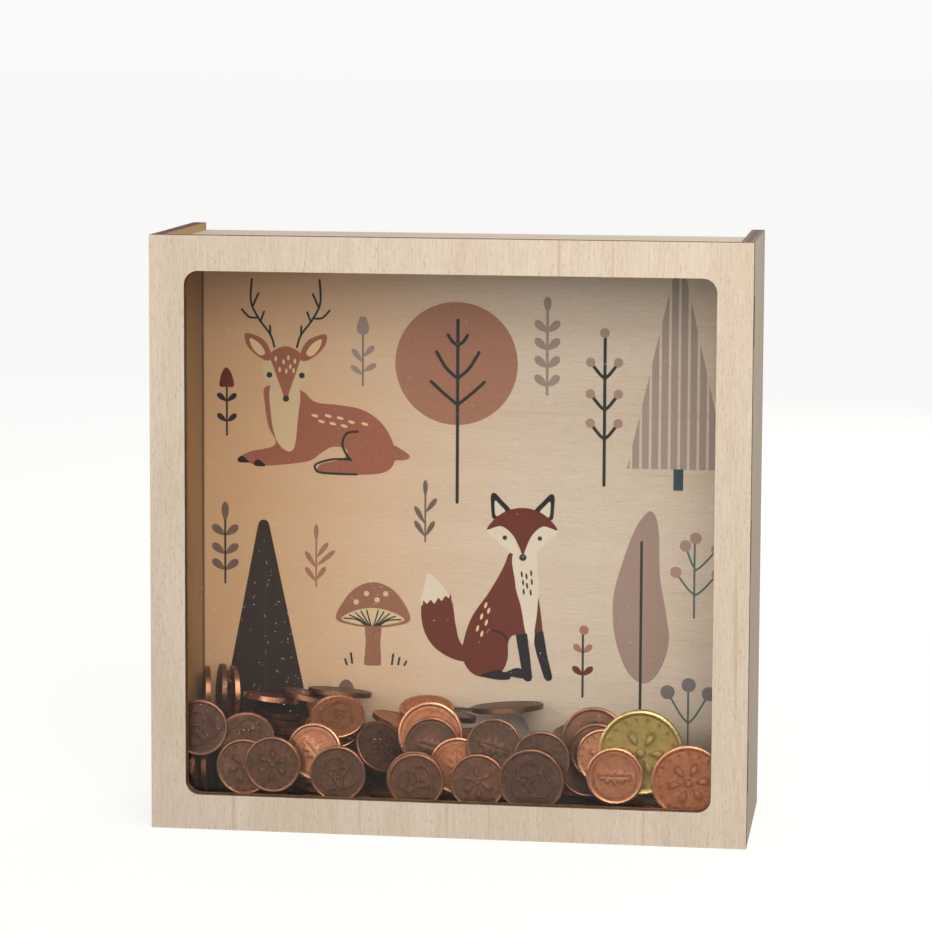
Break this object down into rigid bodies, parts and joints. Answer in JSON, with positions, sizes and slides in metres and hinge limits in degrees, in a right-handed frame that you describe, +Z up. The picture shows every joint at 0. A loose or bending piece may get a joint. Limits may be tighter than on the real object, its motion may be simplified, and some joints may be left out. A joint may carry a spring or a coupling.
{
  "type": "wooden money box",
  "caption": "Square shadow-box money box in thin plywood with a clear front window, a coin slot in the top and a swing-cover emptying hatch in the back.",
  "frame": {"origin": "on the surface the box stands on, at the middle of the overall width and depth", "axes": "+X to the right seen from the window side, +Y from the window to the back, +Z up"},
  "size_m": [0.17, 0.0636, 0.17],
  "materials": {
    "birch_ply": "sanded birch plywood, laser-cut edges",
    "printed_ply": "birch plywood, printed on its inner face",
    "clear_acrylic": "clear cast acrylic, laser-cut edges",
    "zinc_steel": "bright zinc plate",
    "white_nylon": "moulded nylon",
    "worn_copper": "copper-plated steel, brown with use",
    "bright_copper": "copper-plated steel, bright",
    "gold_alloy": "struck brass alloy, dull"
  },
  "bodies": {
    "carcass": {"front_frame": "birch_ply", "left_side_panel": "birch_ply", "right_side_panel": "birch_ply", "top_panel": "birch_ply", "bottom_panel": "birch_ply", "back_panel": "printed_ply", "window_pane": "clear_acrylic", "hatch_screw": "zinc_steel", "hatch_washer": "zinc_steel", "hatch_spacer": "white_nylon", "small_coins_worn": "worn_copper", "small_coins_bright": "bright_copper", "medium_coins_worn": "worn_copper", "medium_coins_bright": "bright_copper", "large_coins_worn": "worn_copper", "large_coins_bright": "bright_copper", "gold_coins": "gold_alloy"},
    "cover": {"hatch_cover": "birch_ply"}
  },
  "joints": [
    {"name": "cover_swing", "type": "hinge", "parent": "carcass", "child": "cover", "pos_m": [0, 0.0274, 0.042], "axis": [0, 1, 0], "continuous": true}
  ]
}
